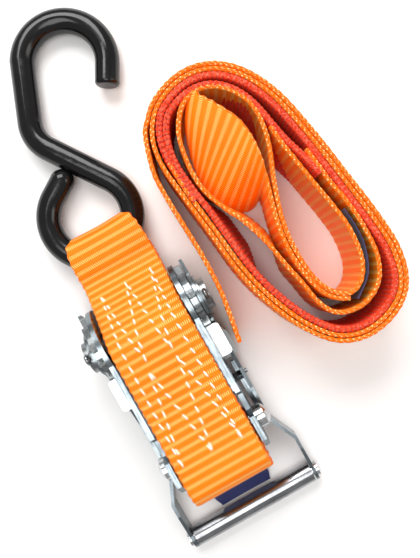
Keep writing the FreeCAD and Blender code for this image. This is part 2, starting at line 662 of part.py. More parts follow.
def long_strap_tail():
    """The strap's free outer end, standing beside the coil."""
    return band(smooth_curve(TAIL), -WEB_THICK / 2, WEB_THICK / 2)


def long_strap_label():
    """Blank label standing beside the sewn eye."""
    return band(smooth_curve(EYE_LABEL), -0.4, 0.4, height=47).translated(Vector(0, 0, 1))


# ---------------------------------------------------------------- whole object

def build_parts():
    wheel = ratchet_wheel()
    side_plate = frame_plate()
    lever_plate = handle_plate()
    return {
        "frame_plate_right": side_plate,
        "frame_plate_left": mirror_x(side_plate),
        "frame_base_plate": frame_base_plate(),
        "fixed_bolt": fixed_bolt(),
        "cap_nut": cap_nut(),
        "bolt_sleeve": bolt_sleeve(),
        "lock_spring": lock_spring(),
        "lock_pawl": lock_pawl(),
        "mandrel_half_upper": mandrel_half(1),
        "mandrel_half_lower": mandrel_half(-1),
        "ratchet_wheel_right": wheel,
        "ratchet_wheel_left": mirror_x(wheel),
        "mandrel_washers": mandrel_washers(),
        "split_pins": split_pins(),
        "handle_plate_right": lever_plate,
        "handle_plate_left": mirror_x(lever_plate),
        "handle_bridge": handle_bridge(),
        "grip_spindle": grip_spindle(),
        "grip_tube": grip_tube(),
        "release_pawl": release_pawl(),
        "release_spring": release_spring(),
        "short_strap_bolt_loop": short_strap_bolt_loop(),
        "short_strap_fold": short_strap_fold(),
        "short_strap_run": short_strap_run(),
        "short_strap_hook_loop": short_strap_hook_loop(),
        "strap_label": strap_label(),
        "s_hook_bar": s_hook_bar(),
        "s_hook_coating": s_hook_coating(),
        "long_strap_turns": long_strap_turns(),
        "wear_sleeve": wear_sleeve(),
        "long_strap_inner_turn": long_strap_inner_turn(),
        "long_strap_fold": long_strap_fold(),
        "long_strap_eye": long_strap_eye(),
        "long_strap_tail": long_strap_tail(),
        "long_strap_label": long_strap_label(),
    }


def main():
    os.makedirs("parts", exist_ok=True)
    parts = build_parts()
    whole = FreeCAD.BoundBox()
    for shape in parts.values():
        whole.add(shape.BoundBox)
    shift = Vector(-whole.Center.x, -whole.Center.y, -whole.ZMin)
    print("mandrel's middle on the ground is at", round(shift.x, 3), round(shift.y, 3), round(shift.z, 3))
    for name, shape in parts.items():
        placed = shape.translated(shift)
        placed.exportStep("parts/" + name + ".step")
        print(name, "solids", len(placed.Solids), "valid", placed.isValid(), "volume", round(placed.Volume))


main()
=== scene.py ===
"""Looks of the ratchet tie down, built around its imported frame. Metres, +Z up, in the frame's own axes."""
import json
import math
import random

import bpy
from mathutils import Matrix, Vector, noise


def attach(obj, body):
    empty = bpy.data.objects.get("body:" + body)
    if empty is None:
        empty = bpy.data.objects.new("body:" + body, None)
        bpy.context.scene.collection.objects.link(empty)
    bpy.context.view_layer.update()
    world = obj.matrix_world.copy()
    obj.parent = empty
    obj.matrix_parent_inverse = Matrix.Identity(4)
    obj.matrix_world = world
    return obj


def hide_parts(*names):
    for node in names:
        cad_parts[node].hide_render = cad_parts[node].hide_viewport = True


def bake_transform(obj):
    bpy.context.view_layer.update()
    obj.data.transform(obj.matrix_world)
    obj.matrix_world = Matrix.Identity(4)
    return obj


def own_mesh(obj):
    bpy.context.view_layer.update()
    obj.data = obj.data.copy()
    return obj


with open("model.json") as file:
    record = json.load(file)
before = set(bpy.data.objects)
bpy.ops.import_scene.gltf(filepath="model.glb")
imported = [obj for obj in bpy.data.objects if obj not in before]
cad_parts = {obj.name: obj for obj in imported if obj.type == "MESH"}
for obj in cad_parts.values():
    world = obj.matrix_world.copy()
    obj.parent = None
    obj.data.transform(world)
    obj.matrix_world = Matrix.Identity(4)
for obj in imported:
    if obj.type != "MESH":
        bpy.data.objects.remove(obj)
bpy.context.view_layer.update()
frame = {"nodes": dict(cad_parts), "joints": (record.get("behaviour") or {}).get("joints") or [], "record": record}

MM = 0.001

JOINTS = {joint["name"]: joint for joint in frame["joints"]}
MANDREL = Vector(JOINTS["mandrel_turn"]["pos_m"])
HOME = Vector((MANDREL.x, MANDREL.y, 0.0))

# webbing
WEB_WIDTH = 50 * MM
WEB_THICK = 2.5 * MM
RIB_PITCH = 5.1 * MM
RIB_DEPTH = 0.26 * MM
RIB_MEAN = 0.6            # share of the rib's depth that lies above the strap's middle thickness
RIM_ROUND = 1.2 * MM      # width over which a rim is rounded off
RIM_SHARE = 0.3           # thickness left at the very rim
RIM_PLACES = (0.96, 0.985, 1.0)
CORD_PITCH = 1.22 * MM
SLEEVE_THICK = 3.7 * MM
SLEEVE_PITCH = 2.9 * MM
SLEEVE_RIB = 0.42 * MM

# distance between the points of a strap's line
SHORT_STEP = 0.42 * MM
COIL_STEP = 0.45 * MM

# texture scales used by more than one material, in patterns per metre
FINE = 900.0
SCRATCH = 1400.0

# camera and paper
CAMERA_HEIGHT = 0.400
CAMERA_TURN = -29.4       # degrees
SENSOR_MM = 36
FOCAL_PX = 628            # focal length in pixels of the photo
PHOTO_WIDTH_PX = 420
PAPER_HALF = 3.0
PAPER_GAP = 0.2 * MM


def at(x, y, z):
    """A point given in millimetres from the ground under the mandrel's middle."""
    return HOME + Vector((x, y, z)) * MM


# ---------------------------------------------------------------- meshes

def new_object(name, mesh):
    """An object in the scene's own collection."""
    piece = bpy.data.objects.new(name, mesh)
    bpy.context.scene.collection.objects.link(piece)
    return piece


def mesh_object(name, points, faces, uvs=None, smooth=True):
    """A mesh piece from points and faces, with the cloth coordinates of each face's corners if given."""
    mesh = bpy.data.meshes.new(name)
    mesh.from_pydata([tuple(p) for p in points], [], faces)
    if uvs:
        layer = mesh.uv_layers.new(name="cloth")
        layer.data.foreach_set("uv", [number for corners in uvs for corner in corners for number in corner])
    if smooth:
        mesh.shade_smooth()
    mesh.update()
    return new_object(name, mesh)


def padded(points):
    """The points with one more beyond each end, going straight on."""
    return [points[0] * 2 - points[1]] + list(points) + [points[-1] * 2 - points[-2]]


def between_points(p0, p1, p2, p3, t):
    """The place a share t of the way from p1 to p2 on the smooth curve through four points."""
    return 0.5 * ((2 * p1) + (p2 - p0) * t + (2 * p0 - 5 * p1 + 4 * p2 - p3) * t * t
                  + (3 * p1 - p0 - 3 * p2 + p3) * t * t * t)


def between_knots(knots, place):
    """The value at a place, eased from one (place, value) knot to the next."""
    k = 0
    while k < len(knots) - 2 and place > knots[k + 1][0]:
        k += 1
    (start, a), (end, b) = knots[k], knots[k + 1]
    t = min(1.0, max(0.0, (place - start) / (end - start)))
    return a + (b - a) * t * t * (3 - 2 * t)


def catmull(points, spacing):
    """A smooth open line through given points, as evenly spaced points."""
    corners = padded(points)
    dense = []
    for i in range(len(points) - 1):
        steps = max(4, int((points[i + 1] - points[i]).length / spacing * 4))
        dense += [between_points(*corners[i:i + 4], k / steps) for k in range(steps)]
    dense.append(points[-1].copy())
    return evenly(dense, spacing)


def evenly(line, spacing):
    """The same line with evenly spaced points."""
    lengths = [0.0]
    for a, b in zip(line, line[1:]):
        lengths.append(lengths[-1] + (b - a).length)
    count = max(2, int(round(lengths[-1] / spacing)) + 1)
    result = []
    i = 0
    for k in range(count):
        target = lengths[-1] * k / (count - 1)
        while i < len(line) - 2 and lengths[i + 1] < target:
            i += 1
        span = lengths[i + 1] - lengths[i]
        t = (target - lengths[i]) / span if span > 0 else 0.0
        result.append(line[i].lerp(line[i + 1], t))
    return result


def line_length(line):
    """The distance along a line."""
    return sum((b - a).length for a, b in zip(line, line[1:]))


def tangents(line):
    """The direction of a line at each of its points."""
    last = len(line) - 1
    return [(line[min(i + 1, last)] - line[max(i - 1, 0)]).normalized() for i in range(last + 1)]


def tube_faces(rings, sides, base=0):
    """Faces of a closed tube whose points come ring by ring, with a cap at each end."""
    faces = []
    for i in range(rings - 1):
        for k in range(sides):
            a, b = base + i * sides + k, base + i * sides + (k + 1) % sides
            faces.append((a, b, b + sides, a + sides))
    faces.append(tuple(base + k for k in reversed(range(sides))))
    faces.append(tuple(base + (rings - 1) * sides + k for k in range(sides)))
    return faces


def web_columns(count):
    """Places across a strap from -1 to 1, closer together at its rims."""
    inner = [-0.94 + 1.88 * k / count for k in range(count + 1)]
    return [-place for place in reversed(RIM_PLACES)] + inner + list(RIM_PLACES)


class Webbing:
    """Collects lengths of webbing into one mesh of closed pieces.
    Its cloth coordinates are the distance round the section and the distance along."""

    def __init__(self, thick=WEB_THICK, columns=18, rib=RIB_DEPTH, pitch=RIB_PITCH, rim_wave=0.25 * MM):
        """Thickness, points across, the ribs' depth and pitch, and how far the rims wave with them."""
        self.thick = thick
        self.places = web_columns(columns)
        self.rib = rib
        self.pitch = pitch
        self.rim_wave = rim_wave
        self.points, self.faces, self.uvs = [], [], []

    def add(self, line, across, half_width, v_start=0.0, cup=None, puff=None, skewed=False):
        """Adds a length along a line and returns the distance reached.
        across, half_width, cup (rims lifted) and puff (middle lifted) go point by point.
        Across is squared to the line unless the cloth is skewed."""
        base = len(self.points)
        last = len(self.places) - 1
        ring = 2 * (last + 1)
        along = tangents(line)
        round_u = WEB_WIDTH + self.thick
        travelled = v_start
        lengths = []
        for i, centre in enumerate(line):
            if i:
                travelled += (centre - line[i - 1]).length
            lengths.append(travelled)
            wide = across[i]
            if not skewed:
                wide = (wide - along[i] * wide.dot(along[i])).normalized()
            up = along[i].cross(wide).normalized()
            phase = 2 * math.pi * travelled / self.pitch
            swell = self.rib * (math.sqrt(0.5 - 0.5 * math.cos(phase)) - RIB_MEAN)
            half = half_width[i] + self.rim_wave * math.sin(phase)
            for side in (1, -1):
                for place in self.places:
                    s = place * side
                    rim = min(1.0, (1 - abs(s)) * half / RIM_ROUND)
                    rounding = math.sqrt(max(0.0, 1 - (1 - rim) ** 2))
                    body = self.thick / 2 * (RIM_SHARE + (1 - RIM_SHARE) * rounding)
                    lift = side * (body + swell * rounding)
                    if cup:
                        lift += cup[i] * s * s
                    if puff:
                        lift += puff[i] * (1 - s * s)
                    self.points.append(centre + wide * (half * s) + up * lift)
        for i in range(len(line) - 1):
            for k in range(ring):
                a = base + i * ring + k
                b = base + i * ring + (k + 1) % ring
                self.faces.append((a, b, b + ring, a + ring))
                u0, u1 = self.round_places(k, last), self.round_places(k + 1, last)
                v0, v1 = lengths[i], lengths[i + 1]
                self.uvs.append(((u0, v0), (u1, v0), (u1, v1), (u0, v1)))
        end = base + (len(line) - 1) * ring
        for k in range(last):
            u0, u1 = self.round_places(k, last), self.round_places(k + 1, last)
            under0, under1 = u0 + round_u, u1 + round_u
            self.faces.append((base + k, base + ring - 1 - k, base + ring - 2 - k, base + k + 1))
            self.uvs.append(tuple((u, v_start) for u in (u0, under0, under1, u1)))
            self.faces.append((end + k + 1, end + ring - 2 - k, end + ring - 1 - k, end + k))
            self.uvs.append(tuple((u, travelled) for u in (u1, under1, under0, u0)))
        return travelled

    def round_places(self, k, last):
        """The distance round the section of its k-th point, counted from the middle of the upper face."""
        if k <= last:
            return self.places[k] * WEB_WIDTH / 2
        if k <= 2 * last + 1:
            return WEB_WIDTH + self.thick + self.places[k - last - 1] * WEB_WIDTH / 2
        return 1.5 * WEB_WIDTH + 2 * self.thick

    def piece(self, name):
        """Everything added so far, as one piece."""
        return mesh_object(name, self.points, self.faces, self.uvs)


# ---------------------------------------------------------------- materials

class Shade:
    """A small helper that builds one procedural material."""

    def __init__(self, name, **surface):
        """The material's name, and its surface sockets with _ for each space."""
        self.material = bpy.data.materials.new(name)
        self.material.use_nodes = True
        self.tree = self.material.node_tree
        self.bsdf = self.tree.nodes["Principled BSDF"]
        for socket, value in surface.items():
            self.bsdf.inputs[socket.replace("_", " ")].default_value = value

    def put(self, target, value):
        """Links a node's output to a socket, or sets a plain value on it."""
        if isinstance(value, bpy.types.NodeSocket):
            self.tree.links.new(value, target)
        else:
            target.default_value = value

    def node(self, kind, **settings):
        """A new shader node with its settings."""
        made = self.tree.nodes.new(kind)
        for key, value in settings.items():
            setattr(made, key, value)
        return made

    def math(self, operation, a, b=0.0):
        """One sum, by the name Blender gives it."""
        made = self.node("ShaderNodeMath", operation=operation)
        self.put(made.inputs[0], a)
        self.put(made.inputs[1], b)
        return made.outputs[0]

    def mix(self, factor, a, b):
        """Colour a at 0, b at 1."""
        made = self.node("ShaderNodeMix", data_type="RGBA")
        self.put(made.inputs["Factor"], factor)
        self.put(made.inputs[6], a)
        self.put(made.inputs[7], b)
        return made.outputs[2]

    def span(self, value, low, high, to_low=0.0, to_high=1.0):
        """A value eased from one range to another."""
        made = self.node("ShaderNodeMapRange", interpolation_type="SMOOTHSTEP")
        for index, number in enumerate((value, low, high, to_low, to_high)):
            self.put(made.inputs[index], number)
        return made.outputs[0]

    def cloth(self):
        """Distance across and along the strap, in metres."""
        uv = self.node("ShaderNodeUVMap", uv_map="cloth")
        split = self.node("ShaderNodeSeparateXYZ")
        self.tree.links.new(uv.outputs[0], split.inputs[0])
        return split.outputs[0], split.outputs[1]

    def place(self):
        """The place on the piece, in metres."""
        return self.node("ShaderNodeTexCoord").outputs["Object"]

    def noise(self, scale, detail=3.0, roughness=0.55, vector=None):
        """0 to 1, wandering; the scale is in patterns per metre."""
        made = self.node("ShaderNodeTexNoise")
        self.tree.links.new(vector or self.place(), made.inputs["Vector"])
        made.inputs["Scale"].default_value = scale
        made.inputs["Detail"].default_value = detail
        made.inputs["Roughness"].default_value = roughness
        return made.outputs[0]

    def wave(self, value, pitch):
        """0 to 1 and back over each pitch."""
        turned = self.math("MULTIPLY", value, 2 * math.pi / pitch)
        return self.math("ADD", self.math("MULTIPLY", self.math("COSINE", turned), -0.5), 0.5)

    def bump(self, height, distance, strength):
        """Small relief on the surface."""
        made = self.node("ShaderNodeBump")
        made.inputs["Strength"].default_value = strength
        made.inputs["Distance"].default_value = distance
        self.tree.links.new(height, made.inputs["Height"])
        self.tree.links.new(made.outputs[0], self.bsdf.inputs["Normal"])

    def set(self, socket, value):
        """One of the surface's own sockets."""
        self.put(self.bsdf.inputs[socket], value)


def rim_mask(shade, u, thick=WEB_THICK):
    """1 on the strap's rims, from the distance round its section."""
    return shade.span(shade.math("PINGPONG", u, (WEB_WIDTH + thick) / 2), 24.0 * MM, 25.0 * MM)


def webbing_material(name, crest, valley_tone_and_shade, highlight):
    """Ribbed polyester: broad smooth weft ribs, fine warp cords tied down between them, and a braided rim. Painted
    shade darkens the hollows between the ribs and the gaps between the cords; painted highlights light the cords'
    tops in the hollows, fine fibres and the knots of the braid.
    """
    shade = Shade(name, Roughness=0.6, Sheen_Weight=0.03, Sheen_Roughness=0.4, Specular_IOR_Level=0.12)
    shade.bsdf.inputs["Sheen Tint"].default_value = (1.0, 0.6, 0.2, 1)
    u, v = shade.cloth()
    rib = shade.wave(v, RIB_PITCH)
    slant = shade.math("ADD", u, shade.math("MULTIPLY", v, -0.12))
    cords = shade.wave(slant, CORD_PITCH)
    hollow = shade.span(rib, 0.52, 0.28)
    drift = shade.noise(28.0, 2.0)
    fuzz = shade.noise(FINE, 2.0)
    body = shade.mix(shade.math("MULTIPLY", drift, 0.7), crest, valley_tone_and_shade)
    # painted shade: the hollows between the ribs are mixed toward the darker valley tone
    body = shade.mix(shade.math("MULTIPLY", shade.span(rib, 0.75, 0.15), 0.6), body, valley_tone_and_shade)
    cord_highlights = shade.math("MULTIPLY", hollow, shade.span(cords, 0.45, 0.8))
    # painted shade: the low gaps between the cords in the rib hollows are darkened
    gap_shade = shade.math("MULTIPLY", hollow, shade.span(cords, 0.35, 0.1))
    colour = shade.mix(shade.math("MULTIPLY", gap_shade, 0.6), body, (0.80, 0.085, 0.001, 1))
    # painted highlight: the raised tops of the cords in the rib hollows take the pale yellow colour
    colour = shade.mix(cord_highlights, colour, highlight)
    # painted highlight: fine glints on the fibres
    colour = shade.mix(shade.math("MULTIPLY", shade.span(fuzz, 0.55, 0.8), 0.12), colour, highlight)
    braid = shade.math("MULTIPLY", shade.wave(shade.math("ADD", v, shade.math("MULTIPLY", u, 0.6)), 3.4 * MM),
                       shade.wave(shade.math("SUBTRACT", v, shade.math("MULTIPLY", u, 1.4)), 3.1 * MM))
    rim = rim_mask(shade, u)
    # painted highlight: the braid's raised knots on the rim are lit pale yellow over the rim's own orange
    braid_highlights = shade.math("MULTIPLY", shade.span(braid, 0.5, 0.75), shade.span(fuzz, 0.25, 0.5))
    braided = shade.mix(braid_highlights, (0.99, 0.15, 0.002, 1), (1.0, 0.78, 0.32, 1))
    colour = shade.mix(rim, colour, braided)
    shade.set("Base Color", colour)
    shade.set("Roughness", shade.span(drift, 0.2, 0.8, 0.42, 0.58))
    height = shade.math("MULTIPLY", cords, shade.span(hollow, 0.0, 1.0, 0.25, 1.0))
    height = shade.math("ADD", height, shade.math("MULTIPLY", fuzz, 0.25))
    height = shade.math("ADD", height, shade.math("MULTIPLY", shade.math("MULTIPLY", rim, braid), 2.0))
    shade.bump(height, 0.18 * MM, 0.8)
    return shade.material


def sleeve_material():
    """Ribbed red tube woven of fine yarn, with pale flecks in its hollows and along its rims, and painted shade
    that darkens the hollows between its ribs.
    """
    shade = Shade("red_sleeve", Roughness=0.65, Sheen_Weight=0.06, Sheen_Roughness=0.45,
                  Specular_IOR_Level=0.14)
    shade.bsdf.inputs["Sheen Tint"].default_value = (1.0, 0.35, 0.25, 1)
    u, v = shade.cloth()
    rib = shade.wave(v, SLEEVE_PITCH)
    yarn = shade.wave(u, 1.3 * MM)
    creases = shade.noise(60.0, 3.0)
    fuzz = shade.noise(FINE, 2.0)
    # painted shade: the hollows between the ribs darker, their crests lighter
    colour = shade.mix(rib, (0.52, 0.011, 0.002, 1), (0.78, 0.034, 0.005, 1))
    colour = shade.mix(shade.span(creases, 0.35, 0.75, 0.0, 0.35), colour, (0.88, 0.075, 0.016, 1))
    specks = shade.math("MULTIPLY", shade.span(rib, 0.45, 0.15), shade.span(yarn, 0.6, 0.9))
    specks = shade.math("MULTIPLY", specks, shade.span(fuzz, 0.4, 0.62))
    colour = shade.mix(shade.math("MULTIPLY", specks, 0.75), colour, (1.0, 0.48, 0.36, 1))
    rim = rim_mask(shade, u, SLEEVE_THICK)
    colour = shade.mix(shade.math("MULTIPLY", rim, shade.span(fuzz, 0.45, 0.7, 0.05, 0.45)), colour,
                       (1.0, 0.34, 0.20, 1))
    shade.set("Base Color", colour)
    height = shade.math("ADD", shade.math("MULTIPLY", yarn, 0.6), shade.math("MULTIPLY", creases, 0.8))
    height = shade.math("ADD", height, shade.math("MULTIPLY", fuzz, 0.5))
    shade.bump(height, 0.25 * MM, 0.8)
    return shade.material


def label_material():
    """Smooth blank ribbon with a faint weave."""
    shade = Shade("blue_label", Roughness=0.34, Sheen_Weight=0.15, Specular_IOR_Level=0.5)
    weave = shade.noise(700.0, 2.0)
    soft = shade.noise(40.0, 2.0)
    shade.set("Base Color", shade.mix(soft, (0.018, 0.022, 0.09, 1), (0.05, 0.06, 0.19, 1)))
    shade.set("Roughness", shade.span(soft, 0.3, 0.7, 0.28, 0.46))
    shade.bump(weave, 0.06 * MM, 0.6)
    return shade.material


def thread_material():
    """Bonded white sewing thread, with its twist showing."""
    shade = Shade("white_thread", Roughness=0.5, Sheen_Weight=0.2)
    fibres = shade.noise(1500.0, 2.0)
    shade.set("Base Color", shade.mix(fibres, (0.80, 0.74, 0.64, 1), (0.98, 0.95, 0.88, 1)))
    shade.bump(fibres, 0.1 * MM, 0.7)
    return shade.material


def vinyl_material():
    """Glossy black dipped coating with slight runs in it."""
    shade = Shade("black_vinyl", Roughness=0.16, Specular_IOR_Level=0.42)
    runs = shade.noise(45.0, 3.0)
    grain = shade.noise(650.0, 3.0)
    shade.set("Base Color", shade.mix(runs, (0.0025, 0.0025, 0.003, 1), (0.005, 0.005, 0.006, 1)))
    shade.set("Roughness", shade.span(runs, 0.3, 0.7, 0.11, 0.19))
    height = shade.math("ADD", shade.math("MULTIPLY", runs, 3.0), shade.math("MULTIPLY", grain, 0.25))
    shade.bump(height, 0.2 * MM, 0.5)
    return shade.material


def steel_material(name, light, dark, smooth, rough, stretch=(1.0, 0.06, 1.0)):
    """Zinc plated steel: plating blotches, fine scratches and slightly varied polish.
    stretch draws the scratches out along the axis whose number is small."""
    shade = Shade(name, Metallic=1.0, Roughness=smooth)
    blotches = shade.noise(55.0, 4.0, 0.6)
    grain = shade.noise(FINE, 3.0)
    place = shade.node("ShaderNodeMapping")
    place.inputs["Scale"].default_value = stretch
    shade.tree.links.new(shade.place(), place.inputs["Vector"])
    scratches = shade.noise(SCRATCH, 2.0, 0.6, place.outputs[0])
    tone = shade.math("ADD", shade.math("MULTIPLY", blotches, 0.6), shade.math("MULTIPLY", scratches, 0.4))
    shade.set("Base Color", shade.mix(shade.span(tone, 0.3, 0.7), dark, light))
    shade.set("Roughness", shade.span(tone, 0.3, 0.7, rough, smooth))
    height = shade.math("ADD", shade.math("MULTIPLY", scratches, 0.7), shade.math("MULTIPLY", grain, 0.4))
    shade.bump(height, 0.05 * MM, 0.2)
    return shade.material


# colour where the plating is light and where it is dark, roughness where it is smooth and where it is rough
STEELS = {
    "zinc_plate": ((0.30, 0.34, 0.36, 1), (0.12, 0.145, 0.16, 1), 0.18, 0.30),
    "pawl_steel": ((0.86, 0.88, 0.88, 1), (0.70, 0.73, 0.74, 1), 0.26, 0.38),
    "mandrel_steel": ((0.38, 0.40, 0.40, 1), (0.15, 0.16, 0.17, 1), 0.20, 0.34),
    "bolt_steel": ((0.72, 0.73, 0.74, 1), (0.46, 0.47, 0.48, 1), 0.12, 0.26),
    "grip_steel": ((0.40, 0.41, 0.43, 1), (0.20, 0.20, 0.21, 1), 0.16, 0.28, (0.04, 1.0, 1.0)),
    "spring_steel": ((0.62, 0.63, 0.64, 1), (0.38, 0.39, 0.40, 1), 0.2, 0.4),
    "hook_steel": ((0.45, 0.45, 0.46, 1), (0.30, 0.30, 0.31, 1), 0.3, 0.5),
}


def make_materials():
    """Every material by the name of its slot."""
    materials = {
        # webbing colours: crest, a valley tone that also paints the shade in the rib hollows, and the colour of
        # the painted highlights
        "orange_webbing": webbing_material("orange_webbing", (1.0, 0.25, 0.004, 1), (0.96, 0.12, 0.001, 1),
                                           (1.0, 0.74, 0.18, 1)),
        "red_sleeve": sleeve_material(),
        "blue_label": label_material(),
        "white_thread": thread_material(),
        "black_vinyl": vinyl_material(),
    }
    for name, look in STEELS.items():
        materials[name] = steel_material(name, *look)
    return materials


# ---------------------------------------------------------------- short strap

ACROSS = Vector((-1, 0, 0))
HALF = WEB_WIDTH / 2 - 0.2 * MM

# places on the strap's middle plane, in the millimetres of at()
BOLT_Y, BOLT_Z = -79, 28
BOLT_LOOP_R = 8.45
BOLT_LOOP_OPENING = 141.8        # degrees from +y at which the loop's two sides leave the bolt
LOOP_END_Y = -88.7
LOOP_ENDS_Z = (29.4, 26.6)
FOLD_Y, FOLD_Z = -92.6, 37.5
FOLD_RADII = (10.9, 8.1)         # of the outer and the inner layer
RUN_START_Y = -10


def upright(pairs):
    """Points on the strap's middle plane, from (y, z) pairs in millimetres."""
    return [at(0, y, z) for y, z in pairs]


def arc(y, z, radius, start, end, step=6):
    """(y, z) pairs round a centre, from one angle to another in degrees."""
    count = max(2, int(abs(end - start) / step) + 1)
    angles = [math.radians(start + (end - start) * k / (count - 1)) for k in range(count)]
    return [(y + radius * math.cos(a), z + radius * math.sin(a)) for a in angles]


def profile(line, knots):
    """A value for each point of a strap line, eased between (share of the length, value) knots."""
    return [between_knots(knots, i / (len(line) - 1)) for i in range(len(line))]


def make_bolt_loop():
    """One layer round the bolt's sleeve, both ends lying together at the fold."""
    bend = arc(BOLT_Y, BOLT_Z, BOLT_LOOP_R, BOLT_LOOP_OPENING, -BOLT_LOOP_OPENING)
    pairs = [(LOOP_END_Y, LOOP_ENDS_Z[0])] + bend + [(LOOP_END_Y, LOOP_ENDS_Z[1])]
    line = evenly(upright(pairs), SHORT_STEP)
    web = Webbing()
    length = web.add(line, [ACROSS] * len(line), [HALF] * len(line))
    piece = web.piece("strap_bolt_loop")
    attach(piece, "frame")
    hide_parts("short_strap_bolt_loop")
    return piece


def fold_lines():
    """The outer and inner layer from the bolt loop round the fold and along the top of the base."""
    lines = []
    for radius in FOLD_RADII:
        bend = arc(FOLD_Y, FOLD_Z, radius, 270, 90)
        pairs = [(LOOP_END_Y, FOLD_Z - radius)] + bend + [(RUN_START_Y, FOLD_Z + radius)]
        lines.append(evenly(upright(pairs), SHORT_STEP))
    return lines


def make_fold(lines):
    """Both layers from the bolt loop round the fold and along the top of the base."""
    web = Webbing()
    total = 0.0
    for line in lines:
        total += web.add(line, [ACROSS] * len(line), [HALF] * len(line))
    piece = web.piece("strap_fold")
    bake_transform(piece)
    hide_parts("short_strap_fold")
    return piece


RUN_PAIRS = [
    (RUN_START_Y, 48.4), (-6, 48.3), (-1.5, 46.9), (5, 41.9), (15, 33.6), (25, 25.4), (33, 19.6), (37.6, 17.8),
    (41.5, 18.1), (46, 19.7), (50, 20.4), (56.5, 20.3), (62, 18.8), (65.8, 15), (67.5, 10.6), (66.4, 6.2),
    (62.5, 2.9), (56, 1.5), (50, 1.35), (45.2, 2.1), (41, 6.3), (37, 11.6), (33, 15.3), (25, 21.8),
    (15, 30), (5, 38), (-1.5, 43.3), (-6, 45.3), (RUN_START_Y, 45.6),
]


def run_line():
    """The strap's middle from the top of the base down to the hook, round its eye and back."""
    return catmull(upright(RUN_PAIRS), SHORT_STEP)


def make_run(line, v_start):
    """Both layers from the top of the base down to the hook, and the loop between them round the hook's eye."""
    widths = profile(line, [(0.0, HALF), (0.30, HALF), (0.373, 24.4 * MM), (0.407, 23.8 * MM),
                            (0.437, 22.6 * MM), (0.462, 19.6 * MM), (0.487, 15.6 * MM), (0.51, 14.2 * MM),
                            (0.54, 15.5 * MM), (0.60, 22 * MM), (0.64, 24.3 * MM), (0.70, HALF), (1.0, HALF)])
    cup = profile(line, [(0.0, 0.0), (0.36, 0.0), (0.407, 0.8 * MM), (0.437, 1.5 * MM), (0.50, 0.3 * MM),
                         (0.56, 0.0), (1.0, 0.0)])
    web = Webbing()
    end = web.add(line, [ACROSS] * len(line), widths, v_start, cup=cup)
    piece = web.piece("strap_run")
    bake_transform(piece)
    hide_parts("short_strap_run", "short_strap_hook_loop")
    return piece


STITCH_PITCH = 7.4 * MM
STITCH_LENGTH = 4.6 * MM
STITCH_R = 0.56 * MM
STITCH_FLAT = 0.7                # height of the thread for its width
STITCH_LIFT = 0.12 * MM
STITCH_PATH_STEP = 0.5           # millimetres
STITCH_SIDES = 8
# one stitch as (share of its length, share of its radius, lift in millimetres)
STITCH_RINGS = [(-0.5, 0.25, -0.35), (-0.36, 0.8, 0.02), (-0.12, 1.0, 0.14), (0.12, 1.0, 0.14),
                (0.36, 0.8, 0.02), (0.5, 0.25, -0.35)]
# corners of each line of stitches: across the strap, and along it in the y of at()
STITCH_LINES = [
    [(-17, 28.5), (-8.5, -15), (0, 28.5), (7.5, -17), (17, 28.5)],
    [(-20, -79), (-10, -22), (-1, -79), (8, -22), (17, -79)],
    [(-17, 28.5), (-20, -79)],
    [(17, 28.5), (17, -79)],
]


def surface_at(line, y):
    """A place just above the strap's upper face at y, and the direction up from it."""
    target = at(0, y, 0).y
    for a, b in zip(line, line[1:]):
        if a.y <= target <= b.y:
            t = (target - a.y) / (b.y - a.y)
            along = (b - a).normalized()
            up = along.cross(ACROSS).normalized()
            return a.lerp(b, t) + up * (WEB_THICK / 2 + STITCH_LIFT), up
    return None, None


def add_stitch(points, faces, centre, along, side, up):
    """One stitch: a thread standing proud of the webbing, its ends drawn into it."""
    base = len(points)
    for share, size, lift in STITCH_RINGS:
        for k in range(STITCH_SIDES):
            a = 2 * math.pi * k / STITCH_SIDES
            sideways = side * (STITCH_R * size * math.cos(a))
            upwards = up * (STITCH_FLAT * STITCH_R * size * math.sin(a) + lift * MM)
            points.append(centre + along * (STITCH_LENGTH * share) + (sideways + upwards))
    faces.extend(tube_faces(len(STITCH_RINGS), STITCH_SIDES, base))


def make_stitches(line):
    """White lockstitching through both layers: a W and an M that meet, and a line down each side."""
    chance = random.Random(11)
    points, faces = [], []
    for corners in STITCH_LINES:
        marks = [Vector((x, y, 0)) for x, y in corners]
        path = []
        for a, b in zip(marks, marks[1:]):
            steps = int((b - a).length / STITCH_PATH_STEP)
            path += [a.lerp(b, k / steps) for k in range(steps)]
        path.append(marks[-1])
        placed = []
        for mark in path:
            place, up = surface_at(line, mark.y)
            if place:
                placed.append((place + Vector((mark.x * MM, 0, 0)), up))
        travelled, due = 0.0, STITCH_PITCH * 0.4
        for (a, up), (b, _) in zip(placed, placed[1:]):
            travelled += (b - a).length
            if travelled < due:
                continue
            due += STITCH_PITCH * chance.uniform(0.93, 1.07)
            slant = Matrix.Rotation(math.radians(chance.uniform(6, 17)), 3, up)
            along = slant @ (b - a).normalized()
            add_stitch(points, faces, b, along, up.cross(along).normalized(), up)
    piece = mesh_object("strap_stitches", points, faces)
    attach(piece, "short_strap")
    return piece


def make_strap_label():
    """Blank label sewn into the bolt loop, lying down towards the grip."""
    pairs = [(-94.6, 22.4), (-100, 19.8), (-106, 15.4), (-111.5, 9.6), (-116.5, 4.8), (-120.5, 2.4),
             (-123, 1.6)]
    line = catmull([at(-1, y, z) for y, z in pairs], 0.5 * MM)
    web = Webbing(thick=0.5 * MM, columns=12, rib=0.0, rim_wave=0.05 * MM)
    puff = profile(line, [(0.0, 0.0), (0.5, 1.6 * MM), (1.0, 0.4 * MM)])
    halves = profile(line, [(0.0, 19 * MM), (0.8, 19 * MM), (1.0, 17.5 * MM)])
    length = web.add(line, [ACROSS] * len(line), halves, puff=puff)
    piece = web.piece("strap_label_flap")
    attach(piece, "frame")
    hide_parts("strap_label")
    return piece


# ---------------------------------------------------------------- long strap

